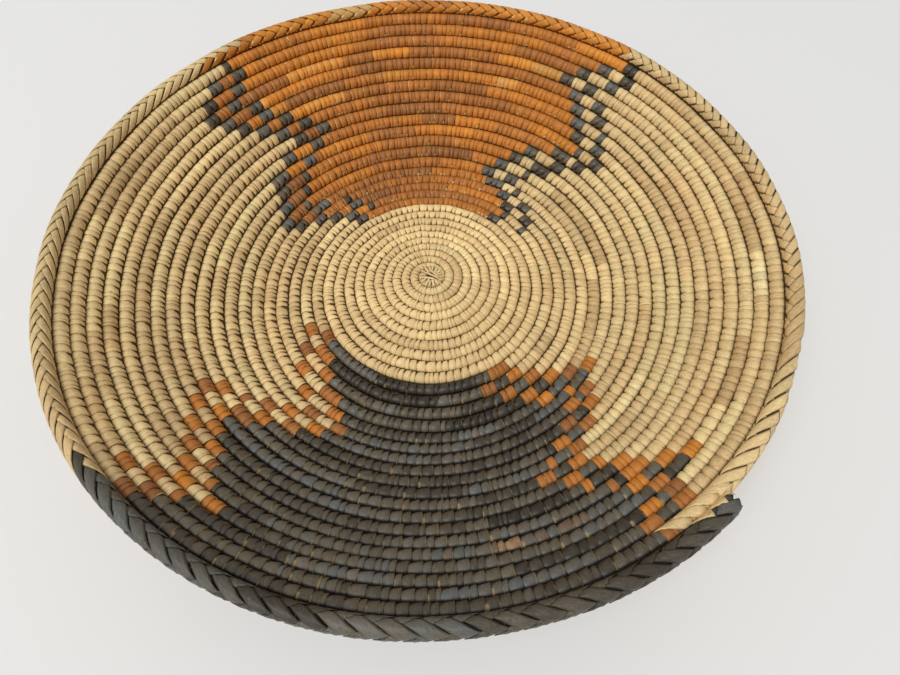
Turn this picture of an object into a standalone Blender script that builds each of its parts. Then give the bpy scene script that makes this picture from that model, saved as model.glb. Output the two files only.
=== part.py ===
"""A shallow coiled basket bowl.

One long bundle spirals out from a knot at the centre and is sewn row to row.
Nineteen rows carry dyed stitching, orange at the back and black at the front,
and a braid covers the last loop, which is the rim. Metres, +Z up, +Y away
from the viewer; the bowl stands on its coil at z = 0.
"""

import math

import bmesh
import bpy
import numpy as np
from mathutils import Vector

MM = 0.001

# The coil: row spacing, the turns over which the cord thickens, and those over which
# it thins again towards the rim
START_PITCH = 4.2 * MM
ROW_PITCH = 6.5 * MM
LAST_PITCH = 5.5 * MM
GROWING_TURNS = 16
THINNING_START_TURNS = 22
THINNING_TURNS = 9
ROW_GAP = 0.7 * MM

# Where things lie along the coil, in turns counted from the spiral's centre
START_TURNS = 1.4
CLOSE_START_TURNS = 0.9
COARSE_TURNS = 5.4
CENTRE_END_TURNS = 11.425
LOWER_END_TURNS = 18.375
MIDDLE_END_TURNS = 24.375
ROW_COUNT = 19
CENTRE_AZIMUTH = -114.0
RIM_AZIMUTH = 310.0
FIRST_ROW_TURNS = 12

# The first loop lies closer in than the spiral does, round the knot
START_PULL = 2.4 * MM
KNOT_OFFSET = 1.7 * MM
KNOT_AZIMUTH = 235.0
KNOT_HEIGHT = 3.6 * MM

# The bowl's section: lengths along it, and its slope at the end of each
DOME_RUN = 20.0 * MM
FLOOR_RUN = 61.0 * MM
BEND_RUN = 8.0 * MM
WALL_RUN = 93.0 * MM
DOME_SLOPE = -11.0
BEND_SLOPE = 27.7
WALL_SLOPE = 49.3

# Stitching, braid and the clearances that touching pieces keep
SPLINT_THICKNESS = 0.9 * MM
RIM_DIAMETER = 6.6 * MM
CLEARANCE = 0.3 * MM
SHOULDER_RUN = 0.3 * MM
FLAT_CUT_SHARE = 0.1

# Points on a loop, and sides of the cord's section
LOOP_POINTS = 20
COARSE_LOOP_POINTS = 12
CORD_SIDES = 6
KNOT_SEGMENTS = 12
KNOT_RINGS = 8
SECTION_STEPS = 800
SAMPLES_PER_TURN = 160
SAMPLES_PER_RUN = 16
WELD_DISTANCE = 0.001 * MM

# The weaver's chart, in degrees round the bowl from +X: for each row, where
# the orange field begins and ends, and where the black field does
FIELD_CHART = (
    (55, 129, 217, 299),
    (50, 122, 225, 293),
    (54, 126, 231, 299),
    (59, 129, 239, 305),
    (67, 137, 243, 308),
    (70, 143, 247, 316),
    (66, 139, 242, 311),
    (62, 136, 237, 306),
    (58, 131, 231, 301),
    (50, 126, 229, 297),
    (44, 122, 225, 293),
    (48, 126, 228, 297),
    (50, 130, 232, 299),
    (52, 134, 234, 302),
    (54, 135, 237, 304),
    (58, 139, 241, 306),
    (55, 136, 236, 302),
    (51, 134, 234, 300),
    (46, 136, 232, 301),
)

# The rim braid: each stretch's name, dye and the azimuth where it ends
RIM_STRETCHES = (
    ("rim_braid_natural_right", "natural", 46),
    ("rim_braid_orange_back", "orange", 137),
    ("rim_braid_natural_left", "natural", 226),
    ("rim_braid_black_front", "black", 310),
)

FLAT_SHARE = math.cos(math.pi / CORD_SIDES)
WALL_DIAMETER = ROW_PITCH - ROW_GAP
RIM_EXTRA = (RIM_DIAMETER - (LAST_PITCH - ROW_GAP)) / 2


def turn_at(row, azimuth):
    """Turn at which the given row passes an azimuth between 0 and 360 degrees."""
    return FIRST_ROW_TURNS + (row - 1) + (azimuth - 360 - CENTRE_AZIMUTH) / 360


RIM_TURNS = turn_at(ROW_COUNT, RIM_AZIMUTH)
END_TURNS = RIM_TURNS + 1

# The wall's coil in three lengths, each named with the turn where it ends
WALL_LENGTHS = (
    ("lower_wall_coil", LOWER_END_TURNS),
    ("middle_wall_coil", MIDDLE_END_TURNS),
    ("upper_wall_coil", END_TURNS),
)


def row_pitch(turn):
    """Row spacing at a turn: it grows evenly, stays, and shrinks again towards the rim."""
    grown_share = np.minimum(turn, GROWING_TURNS) / GROWING_TURNS
    thinned_share = np.maximum(turn - THINNING_START_TURNS, 0) / THINNING_TURNS
    grown = (ROW_PITCH - START_PITCH) * grown_share
    return START_PITCH + grown - (ROW_PITCH - LAST_PITCH) * thinned_share


def rim_shift(turn):
    """Room for the thicker rim: it steps out as it begins, and twice as far where it passes its start."""
    step = 1 / LOOP_POINTS
    begun = np.clip((turn - RIM_TURNS) / step + 2, 0, 1)
    ending = np.clip((turn - END_TURNS) / step + 2, 0, 1)
    return RIM_EXTRA * (begun + 2 * ending)


def reach(turn):
    """Distance of the coil's middle from the centre, along the section."""
    growing = np.minimum(turn, GROWING_TURNS)
    grown = START_PITCH * growing + (ROW_PITCH - START_PITCH) * growing ** 2 / (2 * GROWING_TURNS)
    thinning = np.maximum(turn - THINNING_START_TURNS, 0)
    thinned = (ROW_PITCH - LAST_PITCH) * thinning ** 2 / (2 * THINNING_TURNS)
    pulled = START_PULL * np.clip(1 - (turn - START_TURNS) / CLOSE_START_TURNS, 0, 1)
    return grown + ROW_PITCH * (turn - growing) - thinned + rim_shift(turn) - pulled


def section_tables():
    """The section as distance, radius, height and slope, from slopes that change evenly."""
    runs = (0, DOME_RUN, FLOOR_RUN, BEND_RUN, WALL_RUN)
    slopes = np.radians((0, DOME_SLOPE, 0, BEND_SLOPE, WALL_SLOPE))
    distance = np.linspace(0, reach(END_TURNS) + ROW_PITCH, SECTION_STEPS + 1)
    slope = np.interp(distance, np.cumsum(runs), slopes)
    middle = (slope[1:] + slope[:-1]) / 2
    step = np.diff(distance)
    radius = np.concatenate(([0], np.cumsum(np.cos(middle) * step)))
    height = np.concatenate(([0], np.cumsum(np.sin(middle) * step)))
    return distance, radius, height, slope


SECTION = section_tables()


def cord_radius(turn):
    """Half the cord's width across its corners."""
    return (row_pitch(turn) - ROW_GAP) / 2


def core_radius(turn):
    """The bare bundle under dyed stitching or braid, across its corners."""
    return cord_radius(turn) - (SPLINT_THICKNESS + CLEARANCE) / FLAT_SHARE


def floor_level():
    """Height at which the coil is cut flat, before the bowl is lifted to z = 0."""
    turns = np.arange(START_TURNS, END_TURNS, 1 / SAMPLES_PER_TURN)
    height = np.interp(reach(turns), SECTION[0], SECTION[2])
    underside = height - cord_radius(turns) * FLAT_SHARE
    return underside.min() + FLAT_CUT_SHARE * WALL_DIAMETER


FLOOR_LEVEL = floor_level()


def coil_points(turns):
    """Points of the smooth spiral, one row for each turn given."""
    distance = reach(turns)
    radius = np.interp(distance, SECTION[0], SECTION[1])
    height = np.interp(distance, SECTION[0], SECTION[2]) - FLOOR_LEVEL
    azimuth = np.radians(CENTRE_AZIMUTH) + turns * math.tau
    return np.stack((radius * np.cos(azimuth), radius * np.sin(azimuth), height), axis=-1)


def coil_slopes(turns):
    return np.interp(reach(turns), SECTION[0], SECTION[3])


def grid_turns(start, end, loop_points):
    """Corners of the loops strictly between two turns."""
    first = math.floor(start * loop_points) + 1
    last = math.ceil(end * loop_points) - 1
    return np.arange(first, last + 1) / loop_points


def on_chord(turns, corners):
    """Points that lie on the straight runs between the corners."""
    places = coil_points(corners)
    return np.stack([np.interp(turns, corners, places[:, axis]) for axis in range(3)], axis=-1)


def turns_for(length, turn):
    """A short length along the cord, in turns."""
    place = coil_points(np.array([turn]))[0]
    return length / (math.tau * math.hypot(place[0], place[1]))


def clear_of_corner(turn):
    """The turn, moved just clear of a loop's corner if it lies on one."""
    margin = turns_for(SHOULDER_RUN + 2 * CLEARANCE + SPLINT_THICKNESS, turn)
    corner = round(turn * LOOP_POINTS) / LOOP_POINTS
    if abs(turn - corner) >= margin:
        return turn
    return corner + math.copysign(margin, turn - corner)


def dyed_runs():
    """Each dyed run as its node's name, dye, first turn and last turn."""
    runs = []
    for row, chart in enumerate(FIELD_CHART, start=1):
        for dye, start, end in (("orange", *chart[:2]), ("black", *chart[2:])):
            first = clear_of_corner(turn_at(row, start))
            last = clear_of_corner(turn_at(row, end))
            runs.append((f"{dye}_stitching_row_{row:02d}", dye, first, last))
    return runs


def make_material(name, colour, roughness):
    material = bpy.data.materials.new(name)
    material.use_nodes = True
    shader = material.node_tree.nodes["Principled BSDF"]
    shader.inputs["Base Color"].default_value = (*colour, 1)
    shader.inputs["Roughness"].default_value = roughness
    shader.inputs["Metallic"].default_value = 0
    return material


def add_object(name, data, material, collection, parent):
    piece = bpy.data.objects.new(name, data)
    piece.parent = parent
    collection.objects.link(piece)
    if material:
        data.materials.append(material)
    return piece


def cord_curve(name, places, radii, slopes, depth, capped):
    """A six-sided tube on straight runs, its flats facing up and down the section."""
    curve = bpy.data.curves.new(name, "CURVE")
    curve.dimensions = "3D"
    curve.twist_mode = "Z_UP"
    curve.bevel_depth = depth
    curve.bevel_resolution = 1
    curve.use_fill_caps = capped
    spline = curve.splines.new("POLY")
    spline.points.add(len(places) - 1)
    for point, place, radius, slope in zip(spline.points, places, radii, slopes):
        point.co = (*place, 1)
        point.radius = radius / depth
        point.tilt = -slope
    return curve


def curve_as_mesh(curve):
    """The curve's tube as a welded mesh; the curve is removed."""
    holder = bpy.data.objects.new(curve.name, curve)
    bpy.context.scene.collection.objects.link(holder)
    bpy.context.view_layer.update()
    depsgraph = bpy.context.evaluated_depsgraph_get()
    mesh = bpy.data.meshes.new_from_object(holder.evaluated_get(depsgraph))
    bpy.data.objects.remove(holder)
    bpy.data.curves.remove(curve)
    welded = bmesh.new()
    welded.from_mesh(mesh)
    bmesh.ops.remove_doubles(welded, verts=welded.verts, dist=WELD_DISTANCE)
    welded.to_mesh(mesh)
    welded.free()
    return mesh


def cut_flat(piece, cutter):
    """Takes off what would lie below the surface that the bowl stands on."""
    cut = piece.modifiers.new("Flat cut", "BOOLEAN")
    cut.operation = "DIFFERENCE"
    cut.solver = "EXACT"
    cut.object = cutter


def reaches_floor(places, radii):
    return min(places[:, 2] - np.asarray(radii)) < 0


def straight_start(first, second, length):
    """The cord's inner end: straight back from its first corner."""
    direction = (first - second) / np.linalg.norm(first - second)
    return first + direction * length


def make_centre_coil(material, collection, parent):
    """The undyed centre, from the knot to the first patterned row."""
    corners = np.concatenate((
        [START_TURNS],
        grid_turns(START_TURNS, COARSE_TURNS, COARSE_LOOP_POINTS),
        [COARSE_TURNS],
        grid_turns(COARSE_TURNS, CENTRE_END_TURNS + 1 / LOOP_POINTS, LOOP_POINTS),
    ))
    kept = corners[corners < CENTRE_END_TURNS]
    end = on_chord(np.array([CENTRE_END_TURNS]), corners)
    smooth = coil_points(kept)
    inner_end = straight_start(smooth[0], smooth[1], 2 * cord_radius(START_TURNS))
    places = np.concatenate(([inner_end], smooth, end))
    turns = np.concatenate(([START_TURNS], kept, [CENTRE_END_TURNS]))
    curve = cord_curve("centre_coil", places, cord_radius(turns), coil_slopes(turns),
                       WALL_DIAMETER / 2, capped=True)
    add_object("centre_coil", curve_as_mesh(curve), material, collection, parent)
    return places, turns


def wall_corners():
    return grid_turns(CENTRE_END_TURNS - 1 / LOOP_POINTS, END_TURNS + 1 / LOOP_POINTS, LOOP_POINTS)


def bare_stretches():
    """Where the bundle is bare under dyed stitching or braid, as first and last turns."""
    stretches = [(RIM_TURNS, END_TURNS)]
    for _, _, first, last in dyed_runs():
        clear = turns_for(CLEARANCE, first)
        stretches.append((first - clear, last + clear))
    return stretches


def make_wall_coil(name, joint_turns, end_turns, material, cutter, collection, parent):
    """One length of the wall's coil, stepped down to its bare bundle where dyed stitching wraps it."""
    start = joint_turns + turns_for(CLEARANCE, joint_turns)
    bare_runs = bare_stretches()
    stations = [start, end_turns, *grid_turns(start, end_turns, LOOP_POINTS)]
    for first, last in bare_runs:
        shoulder = turns_for(SHOULDER_RUN, first)
        steps = (first - shoulder, first, last, last + shoulder)
        stations += [turn for turn in steps if start < turn < end_turns]
    turns = np.array(sorted(stations))
    radii = []
    for turn in turns:
        bare = any(first <= turn <= last for first, last in bare_runs)
        radii.append(core_radius(turn) if bare else cord_radius(turn))
    places = on_chord(turns, wall_corners())
    curve = cord_curve(name, places, radii, coil_slopes(turns), WALL_DIAMETER / 2, capped=True)
    coil = add_object(name, curve_as_mesh(curve), material, collection, parent)
    if reaches_floor(places, radii):
        cut_flat(coil, cutter)
    return places, turns


def make_sleeve(name, first, last, outer_radius, thickness, material, cutter, collection, parent):
    """A wrapping round the bundle: an open tube given its thickness inwards."""
    turns = np.concatenate(([first], grid_turns(first, last, LOOP_POINTS), [last]))
    places = on_chord(turns, wall_corners())
    radii = outer_radius(turns)
    curve = cord_curve(name, places, radii, coil_slopes(turns), WALL_DIAMETER / 2, capped=False)
    sleeve = add_object(name, curve_as_mesh(curve), material, collection, parent)
    wall = sleeve.modifiers.new("Splint thickness", "SOLIDIFY")
    wall.thickness = thickness
    wall.offset = -1
    wall.use_even_offset = True
    if reaches_floor(places, radii):
        cut_flat(sleeve, cutter)
    return sleeve


def make_rim(materials, cutter, collection, parent):
    """Four stretches of braid end to end round the last loop."""
    thickness = RIM_DIAMETER / 2 * FLAT_SHARE - core_radius(END_TURNS) * FLAT_SHARE - CLEARANCE
    first = RIM_TURNS + turns_for(CLEARANCE, RIM_TURNS)
    rim = []
    for name, dye, end_azimuth in RIM_STRETCHES:
        ahead = (end_azimuth - RIM_AZIMUTH) % 360 or 360
        last = RIM_TURNS + ahead / 360
        rim.append(make_sleeve(name, first, last, lambda turns: turns * 0 + RIM_DIAMETER / 2,
                               thickness, materials[dye], cutter, collection, parent))
        first = last + turns_for(CLEARANCE, last)
    return rim


def make_knot(first_loop, material, collection, parent):
    """The rounded knot that the first loop lies round."""
    azimuth = math.radians(KNOT_AZIMUTH)
    middle = Vector((KNOT_OFFSET * math.cos(azimuth), KNOT_OFFSET * math.sin(azimuth), 0))
    steps = np.linspace(0, 1, SAMPLES_PER_RUN)[:, None]
    runs = [a + (b - a) * steps for a, b in zip(first_loop[:-1], first_loop[1:])]
    around = np.concatenate(runs)
    middle.z = around[:, 2].mean()
    away = np.linalg.norm(around[:, :2] - np.array(middle[:2]), axis=1).min()
    radius = away - cord_radius(START_TURNS) - CLEARANCE
    mesh = bpy.data.meshes.new("start_knot")
    ball = bmesh.new()
    bmesh.ops.create_uvsphere(ball, u_segments=KNOT_SEGMENTS, v_segments=KNOT_RINGS, radius=1)
    bmesh.ops.scale(ball, vec=(radius, radius, KNOT_HEIGHT / 2), verts=ball.verts)
    ball.to_mesh(mesh)
    ball.free()
    mesh.shade_smooth()
    knot = add_object("start_knot", mesh, material, collection, parent)
    knot.location = middle
    return knot


def make_floor_cutter(collection, parent):
    """A slab whose top is the surface that the bowl stands on."""
    mesh = bpy.data.meshes.new("floor_cutter")
    slab = bmesh.new()
    bmesh.ops.create_cube(slab, size=1)
    width = 2 * SECTION[1][-1]
    depth = ROW_PITCH
    bmesh.ops.scale(slab, vec=(width, width, depth), verts=slab.verts)
    bmesh.ops.translate(slab, vec=(0, 0, -depth / 2), verts=slab.verts)
    slab.to_mesh(mesh)
    slab.free()
    cutter = add_object("floor_cutter", mesh, None, collection, parent)
    cutter.hide_render = True
    cutter.display_type = "WIRE"
    return cutter


def least_gap(places, turns):
    """Least clear distance between one loop of the cord and the next, on close points."""
    fine = np.arange(turns[0], turns[-1], 1 / SAMPLES_PER_TURN)
    path = np.stack([np.interp(fine, turns, places[:, axis]) for axis in range(3)], axis=-1)
    radius = cord_radius(fine)
    least = math.inf
    for ahead in range(3 * SAMPLES_PER_TURN // 4, 5 * SAMPLES_PER_TURN // 4):
        apart = np.linalg.norm(path[ahead:] - path[:-ahead], axis=1)
        least = min(least, (apart - radius[ahead:] - radius[:-ahead]).min())
    return least


def centre_on_rim(parent, rim):
    """Moves the whole bowl so that its outer box is centred on the origin."""
    bpy.context.view_layer.update()
    depsgraph = bpy.context.evaluated_depsgraph_get()
    corners = []
    for stretch in rim:
        evaluated = stretch.evaluated_get(depsgraph)
        corners += [evaluated.matrix_world @ Vector(corner) for corner in evaluated.bound_box]
    for axis in range(2):
        low = min(corner[axis] for corner in corners)
        high = max(corner[axis] for corner in corners)
        parent.location[axis] = -(low + high) / 2


def main():
    for old in list(bpy.data.objects):
        bpy.data.objects.remove(old)
    collection = bpy.data.collections.new("coiled_basket_bowl")
    cutters = bpy.data.collections.new("cutters")
    bpy.context.scene.collection.children.link(collection)
    bpy.context.scene.collection.children.link(cutters)
    bowl = bpy.data.objects.new("bowl_centre", None)
    collection.objects.link(bowl)

    materials = {
        "natural": make_material("straw_splint", (0.61, 0.46, 0.21), 0.7),
        "orange": make_material("rust_dyed_splint", (0.45, 0.12, 0.026), 0.65),
        "black": make_material("black_dyed_splint", (0.07, 0.066, 0.06), 0.6),
    }
    cutter = make_floor_cutter(cutters, bowl)
    centre_path = make_centre_coil(materials["natural"], collection, bowl)
    paths = {"centre_coil": centre_path}
    joint_turns = CENTRE_END_TURNS
    for name, end_turns in WALL_LENGTHS:
        paths[name] = make_wall_coil(name, joint_turns, end_turns, materials["natural"], cutter,
                                     collection, bowl)
        joint_turns = end_turns
    make_knot(centre_path[0][:COARSE_LOOP_POINTS + 2], materials["natural"], collection, bowl)
    for name, dye, first, last in dyed_runs():
        make_sleeve(name, first, last, cord_radius, SPLINT_THICKNESS, materials[dye], cutter,
                    collection, bowl)
    rim = make_rim(materials, cutter, collection, bowl)
    centre_on_rim(bowl, rim)

    for name, path in paths.items():
        print(f"{name}: least gap to itself {least_gap(*path) / MM:.2f} mm")


main()
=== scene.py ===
"""Looks of a shallow coiled basket bowl, stitch by stitch, with its braided rim and a plain studio.

The bowl's measures are those of its solids: one bundle spirals out from a knot,
nineteen rows carry dyed stitching, and a braid covers the last loop. Metres, +Z up.
"""

import math

import bpy
import numpy as np
from mathutils import Matrix, Vector


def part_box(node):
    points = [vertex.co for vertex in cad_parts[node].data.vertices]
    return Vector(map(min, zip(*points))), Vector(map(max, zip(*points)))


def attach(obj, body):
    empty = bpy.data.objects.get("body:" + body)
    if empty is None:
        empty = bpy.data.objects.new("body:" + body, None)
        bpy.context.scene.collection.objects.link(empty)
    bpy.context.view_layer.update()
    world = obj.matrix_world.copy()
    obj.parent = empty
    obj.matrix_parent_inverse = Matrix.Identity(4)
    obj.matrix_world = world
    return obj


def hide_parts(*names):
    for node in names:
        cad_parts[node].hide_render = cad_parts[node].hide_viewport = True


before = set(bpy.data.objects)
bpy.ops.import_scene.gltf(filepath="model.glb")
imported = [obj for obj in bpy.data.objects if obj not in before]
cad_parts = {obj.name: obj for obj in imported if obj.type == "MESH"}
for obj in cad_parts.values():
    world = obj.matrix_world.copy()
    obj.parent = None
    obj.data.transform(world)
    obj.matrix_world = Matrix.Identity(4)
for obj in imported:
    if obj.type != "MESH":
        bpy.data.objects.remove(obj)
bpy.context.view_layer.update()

MM = 0.001
CHANCE = np.random.default_rng(19)


def by_dye(natural, orange, black):
    """A value for each dye."""
    return {"natural": natural, "orange": orange, "black": black}


# The coil, as in the solids
START_PITCH = 4.2 * MM
ROW_PITCH = 6.5 * MM
LAST_PITCH = 5.5 * MM
GROWING_TURNS = 16
THINNING_START_TURNS = 22
THINNING_TURNS = 9
ROW_GAP = 0.7 * MM
START_TURNS = 1.4
FIRST_STITCH_TURNS = 0.5
CENTRE_END_TURNS = 11.425
LOWER_END_TURNS = 18.375
MIDDLE_END_TURNS = 24.375
ROW_COUNT = 19
CENTRE_AZIMUTH = -114.0
RIM_AZIMUTH = 310.0
FIRST_ROW_TURNS = 12
LOOP_POINTS = 20
KNOT_OFFSET = 1.7 * MM
KNOT_AZIMUTH = 235.0
RIM_DIAMETER = 6.6 * MM
FLAT_CUT_SHARE = 0.1
WALL_DIAMETER = ROW_PITCH - ROW_GAP
RIM_EXTRA = (RIM_DIAMETER - (LAST_PITCH - ROW_GAP)) / 2
END_STEPS = 1.2
# A six-sided cord's flats lie this share of its radius from its middle
FLAT_SHARE = math.cos(math.pi / 6)
SECTION_STEPS = 800
LEVEL_STEPS = 160

# The bowl's section: lengths along it, and its slope in degrees at the end of each
SECTION_RUNS = np.array((0, 20.0, 61.0, 8.0, 93.0)) * MM
SECTION_SLOPES = np.radians((0, -11.0, 0, 27.7, 49.3))

# The weaver's chart, in degrees round the bowl: for each row, where the orange
# field begins and ends, and where the black field does
FIELD_CHART = (
    (55, 129, 217, 299),
    (50, 122, 225, 293),
    (54, 126, 231, 299),
    (59, 129, 239, 305),
    (67, 137, 243, 308),
    (70, 143, 247, 316),
    (66, 139, 242, 311),
    (62, 136, 237, 306),
    (58, 131, 231, 301),
    (50, 126, 229, 297),
    (44, 122, 225, 293),
    (48, 126, 228, 297),
    (50, 130, 232, 299),
    (52, 134, 234, 302),
    (54, 135, 237, 304),
    (58, 139, 241, 306),
    (55, 136, 236, 302),
    (51, 134, 234, 300),
    (46, 136, 232, 301),
)

# Checks along the back field's right and left edges and the front field's left and right
# ones, row by row, in whole stitches: a check, a gap and a second check, or a lone check
CHECKS = (
    "2 131 222 222 123 222 132 322 232 213 221 222 132 222 222 222 232 222 2",
    "2 122 222 142 322 132 132 132 233 232 222 222 222 222 232 222 232 222 1",
    "2 223 232 233 232 222 222 222 122 223 222 222 222 221 221 222 221 222 2",
    "3 222 222 222 232 132 212 222 222 122 222 221 132 113 222 232 212 222 3",
)

# A stitch's width along the cord, by turn, and how widths stray from it, as shares
STITCH_TURNS = (0, 6, 16)
STITCH_WIDTHS = (2.0 * MM, 3.2 * MM, 3.8 * MM)
WIDTH_SHARES = by_dye(0.87, 0.78, 1.0)
WIDTH_SPREAD = 0.24
WIDTH_LIMITS = (0.6, 1.5)
NARROW_CHANCE = 0.14
NARROW_SHARE = 0.5
CHECK_SPARE = (-0.3, 0.5)

# How a stitch stands on the cord: crowned, lifted, tilted and leaning, narrow ones less
CROWN = 0.07 * MM
LIFT_SPREAD = 0.06 * MM
TILT = 0.08 * MM
TILT_MIDDLE = 0.55
LEAN_SPREAD = 0.16 * MM
LEAST_STAND = 0.35
CORD_HEIGHT_SHARE = 0.94
PRESS = 0.05 * MM
LOWEST = 0.03 * MM

# The gap before a stitch, and its tooth and notch on the side towards the last row. They
# set in over TOUCH_EASE from where the rows touch, and end at TAPER_END, over TAPER_EASE
GAP_DEPTH = 0.42 * MM
GAP_SHARES = by_dye(1.0, 1.0, 0.7)
TOOTH = 0.50 * MM
NOTCH_DEPTH = 1.0 * MM
NOTCH_CUT = 0.36
NOTCH_CUT_SHARES = (0.4, 1.3)
NOTCH_SHARES = by_dye(0.9, 0.62, 1.0)
TOUCH_EASE = math.radians(20)
TAPER_END = math.radians(106)
TAPER_EASE = math.radians(52)

# How much shade is painted into gaps, notches and the grooves along the rows, and for the grooves, each
# one's painted darkness, reach and ease
GAP_PAINTED_SHADES = by_dye((0.28, 0.55), (0.14, 0.42), (0.05, 0.42))
NOTCH_PAINTED_SHADE = 1.2
GROOVE_SHADE_WIDTHS = by_dye(1.0, 0.8, 1.5)
INNER_GROOVE_SHADE = (0.75, 0.30, 0.24)
OUTER_GROOVE_SHADE = (0.70, 0.21, 0.19)
LEAST_GROOVE_SHADE = 0.4

# The bundle under the stitches; tints are tone, shift and painted shade
BUNDLE_OVERLAP = 0.3 * MM
BUNDLE_HEIGHT_SHARE = 0.55
BUNDLE_SIDES = 8
BUNDLE_POINTS = 48
BUNDLE_TINT = (0.2, 0.3, 0.62)
BUNDLE_GRAIN = 60
GRAIN_ROUND = 20

# Columns across a stitch from the gap before it, and angles round the cord from its
# outer side over its top
STITCH_COLUMNS = np.array((0.0, 0.05, 0.5, 0.95))
CORD_ANGLES = np.radians((0, 27, 52, 74, 93, 110, 127, 145, 163, 180, 200, 226, 256, 290, 326))


def turn_at(row, azimuth):
    """Turn at which the given row passes an azimuth between 0 and 360 degrees."""
    return FIRST_ROW_TURNS + (row - 1) + (azimuth - 360 - CENTRE_AZIMUTH) / 360


RIM_TURNS = turn_at(ROW_COUNT, RIM_AZIMUTH)
END_TURNS = RIM_TURNS + 1


def row_pitch(turns):
    """Row spacing: it grows evenly, stays, and shrinks again towards the rim."""
    grown_share = np.minimum(turns, GROWING_TURNS) / GROWING_TURNS
    thinned_share = np.maximum(turns - THINNING_START_TURNS, 0) / THINNING_TURNS
    grown = (ROW_PITCH - START_PITCH) * grown_share
    return START_PITCH + grown - (ROW_PITCH - LAST_PITCH) * thinned_share


def rim_shift(turns):
    """Room for the thicker rim: a step out as it begins, and one more where it passes its start."""
    begun = np.clip((turns - RIM_TURNS) * LOOP_POINTS + 2, 0, 1)
    ending = np.clip((turns - END_TURNS) * LOOP_POINTS + 2, 0, 1)
    return RIM_EXTRA * (begun + END_STEPS * ending)


def reach(turns):
    """Distance of the coil's middle along the section: the sum of the row spacings."""
    growing = np.minimum(turns, GROWING_TURNS)
    grown = START_PITCH * growing + (ROW_PITCH - START_PITCH) * growing ** 2 / (2 * GROWING_TURNS)
    thinning = np.maximum(turns - THINNING_START_TURNS, 0)
    thinned = (ROW_PITCH - LAST_PITCH) * thinning ** 2 / (2 * THINNING_TURNS)
    return grown + ROW_PITCH * (turns - growing) - thinned + rim_shift(turns)


def section_tables():
    """The section as distance, radius, height and slope, from slopes that change evenly."""
    distance = np.linspace(0, reach(END_TURNS) + ROW_PITCH, SECTION_STEPS + 1)
    slope = np.interp(distance, np.cumsum(SECTION_RUNS), SECTION_SLOPES)
    middle = (slope[1:] + slope[:-1]) / 2
    step = np.diff(distance)
    radius = np.concatenate(([0], np.cumsum(np.cos(middle) * step)))
    height = np.concatenate(([0], np.cumsum(np.sin(middle) * step)))
    return distance, radius, height, slope


SECTION = section_tables()


def floor_level():
    """Height of the standing surface below the spiral's centre, before the lift to z = 0."""
    turns = np.arange(START_TURNS, END_TURNS, 1 / LEVEL_STEPS)
    cord_radius = (row_pitch(turns) - ROW_GAP) / 2
    height = np.interp(reach(turns), SECTION[0], SECTION[2])
    return (height - cord_radius * FLAT_SHARE).min() + FLAT_CUT_SHARE * WALL_DIAMETER


def spiral_centre():
    """The spiral's middle: the knot lies a little to one side of it."""
    low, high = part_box("start_knot")
    middle = (np.array(low) + np.array(high)) / 2
    azimuth = math.radians(KNOT_AZIMUTH)
    offset = KNOT_OFFSET * np.array((math.cos(azimuth), math.sin(azimuth)))
    return np.array((*(middle[:2] - offset), -floor_level()))


CENTRE = spiral_centre()

# Unevenness of the hand-laid cord: waves round the bowl that drift from row to row
WAVE_DRIFT = 1.2
WAVE_HEIGHT = 0.08 * MM
WAVE_EASE_TURNS = 6
WAVES = tuple((waves, CHANCE.uniform(-WAVE_DRIFT, WAVE_DRIFT), CHANCE.uniform(0, math.tau),
               CHANCE.uniform(0, math.tau)) for waves in (2, 3, 5, 8, 13, 21))


def unevenness(turns):
    """Two small shifts, along and across the section: sums of sines of the azimuth and the row."""
    along = np.zeros_like(turns)
    across = np.zeros_like(turns)
    for waves, drift, first_phase, second_phase in WAVES:
        angle = (waves * math.tau + drift) * turns
        along += np.sin(angle + first_phase)
        across += np.sin(angle + second_phase)
    height = WAVE_HEIGHT * np.clip(turns / WAVE_EASE_TURNS, 0, 1)
    return along * height, across * height


def coil_frame(turns):
    """Places on the coil's middle line, with the directions out along the section and up from it.

    The place is the section's radius and height at the distance the coil has reached,
    turned to the coil's azimuth; both directions follow the section's slope there.
    """
    distance = reach(turns)
    slope = np.interp(distance, SECTION[0], SECTION[3])
    along, across = unevenness(turns)
    radius = np.interp(distance, SECTION[0], SECTION[1]) + along * np.cos(slope) - across * np.sin(slope)
    height = np.interp(distance, SECTION[0], SECTION[2]) + along * np.sin(slope) + across * np.cos(slope)
    azimuth = math.radians(CENTRE_AZIMUTH) + turns * math.tau
    radial = np.stack((np.cos(azimuth), np.sin(azimuth), np.zeros_like(azimuth)), axis=-1)
    upward = np.array((0.0, 0.0, 1.0))
    place = CENTRE + radial * radius[..., None] + upward * height[..., None]
    outward = radial * np.cos(slope)[..., None] + upward * np.sin(slope)[..., None]
    normal = upward * np.cos(slope)[..., None] - radial * np.sin(slope)[..., None]
    return place, outward, normal


def round_cord(turns, angles, half_width, half_height):
    """Points round the cord: half-width times cosine outward, and half-height times sine upward."""
    place, outward, normal = coil_frame(turns + 0 * angles)
    points = place + outward * (half_width * np.cos(angles))[..., None]
    points = points + normal * (half_height * np.sin(angles))[..., None]
    points[..., 2] = np.maximum(points[..., 2], LOWEST)
    return points


def loop_length(turns):
    """Length of one turn of the cord there."""
    return math.tau * np.interp(reach(turns), SECTION[0], SECTION[1])


def smooth(value):
    """The even S-curve from 0 to 1."""
    share = np.clip(value, 0, 1)
    return share * share * (3 - 2 * share)


def add_object(name, data):
    """A new object in the scene."""
    added = bpy.data.objects.new(name, data)
    bpy.context.scene.collection.objects.link(added)
    return added


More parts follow.
